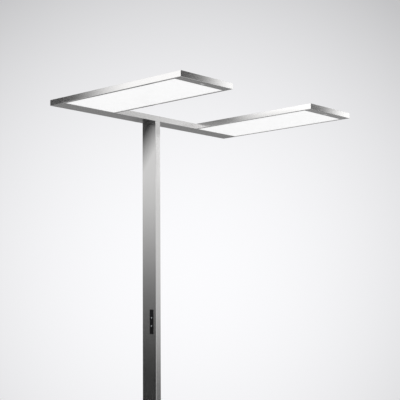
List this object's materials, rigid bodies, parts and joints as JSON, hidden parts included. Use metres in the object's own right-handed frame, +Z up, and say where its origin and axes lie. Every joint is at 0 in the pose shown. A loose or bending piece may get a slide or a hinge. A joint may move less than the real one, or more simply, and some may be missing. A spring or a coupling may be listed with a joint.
{
  "type": "office floor lamp",
  "caption": "Free-standing office floor lamp: a flat column on a base plate carries a crossbar with a slim flat panel head at each end, reaching the same way.",
  "frame": {"origin": "on the floor, at the middle of the plan of the heads and the base plate", "axes": "+Z up, X along the crossbar with the control strip on the -X side of the column, the heads reach from the crossbar towards -Y"},
  "size_m": [1.1, 0.75, 1.97],
  "materials": {
    "satin_aluminium": "satin anodised",
    "coated_steel": "fine-textured metallic coat",
    "plain_steel": "bright zinc",
    "zinc_screws": "bright zinc",
    "plain_aluminium": "mill finish",
    "glide_rubber": "matt",
    "opal_sheet": "satin opal",
    "clear_sheet": "polished",
    "white_sheet": "matt white",
    "white_board": "matt white",
    "frosted_lens": "frosted",
    "green_board": "solder mask",
    "black_plastic": "fine texture",
    "key_plastic": "fine texture",
    "light_pipe": "clear",
    "driver_case": "plain",
    "white_plastic": "plain",
    "loom_sleeve": "matt"
  },
  "bodies": {
    "lamp": {"base_plate": "coated_steel", "base_glides": "glide_rubber", "foot_blocks": "plain_steel", "foot_bolts": "zinc_screws", "column_profile": "satin_aluminium", "column_screws": "zinc_screws", "neck_blocks": "plain_steel", "neck_plate": "plain_steel", "neck_bolts": "zinc_screws", "crossbar_profile": "satin_aluminium", "crossbar_lid": "satin_aluminium", "cover_screws": "zinc_screws", "left_end_cap": "satin_aluminium", "right_end_cap": "satin_aluminium", "left_carrier_plate": "plain_steel", "left_carrier_screws": "zinc_screws", "left_outer_rail": "satin_aluminium", "left_inner_rail": "satin_aluminium", "left_end_rail": "satin_aluminium", "left_corner_keys": "plain_steel", "left_diffuser": "opal_sheet", "left_light_guide": "clear_sheet", "left_reflector": "white_sheet", "left_light_strips": "white_board", "left_uplight_board": "white_board", "left_top_cover": "satin_aluminium", "left_uplight_window": "opal_sheet", "left_sensor_window": "frosted_lens", "left_sensor_board": "green_board", "right_carrier_plate": "plain_steel", "right_carrier_screws": "zinc_screws", "right_outer_rail": "satin_aluminium", "right_inner_rail": "satin_aluminium", "right_end_rail": "satin_aluminium", "right_corner_keys": "plain_steel", "right_diffuser": "opal_sheet", "right_light_guide": "clear_sheet", "right_reflector": "white_sheet", "right_light_strips": "white_board", "right_uplight_board": "white_board", "right_top_cover": "satin_aluminium", "right_uplight_window": "opal_sheet", "right_sensor_window": "frosted_lens", "right_sensor_board": "green_board", "control_bezel": "black_plastic", "indicator_pipes": "light_pipe", "control_board": "green_board", "control_screws": "zinc_screws", "driver_mount": "plain_aluminium", "drivers": "driver_case", "terminal_block": "white_plastic", "inlet_bush": "black_plastic", "inlet_nut": "black_plastic", "column_loom": "loom_sleeve", "head_looms": "loom_sleeve", "loom_connector": "white_plastic", "loom_clips": "white_plastic"},
    "brighter_key": {"brighter_key": "key_plastic"},
    "mode_key": {"mode_key": "key_plastic"},
    "dimmer_key": {"dimmer_key": "key_plastic"}
  },
  "joints": [
    {"name": "brighter_key_press", "type": "slide", "parent": "lamp", "child": "brighter_key", "axis": [1, 0, 0], "range_m": [0, 0.0006], "stiffness_N_per_m": 500, "springref_m": -0.002},
    {"name": "mode_key_press", "type": "slide", "parent": "lamp", "child": "mode_key", "axis": [1, 0, 0], "range_m": [0, 0.0006], "stiffness_N_per_m": 500, "springref_m": -0.002},
    {"name": "dimmer_key_press", "type": "slide", "parent": "lamp", "child": "dimmer_key", "axis": [1, 0, 0], "range_m": [0, 0.0006], "stiffness_N_per_m": 500, "springref_m": -0.002}
  ]
}
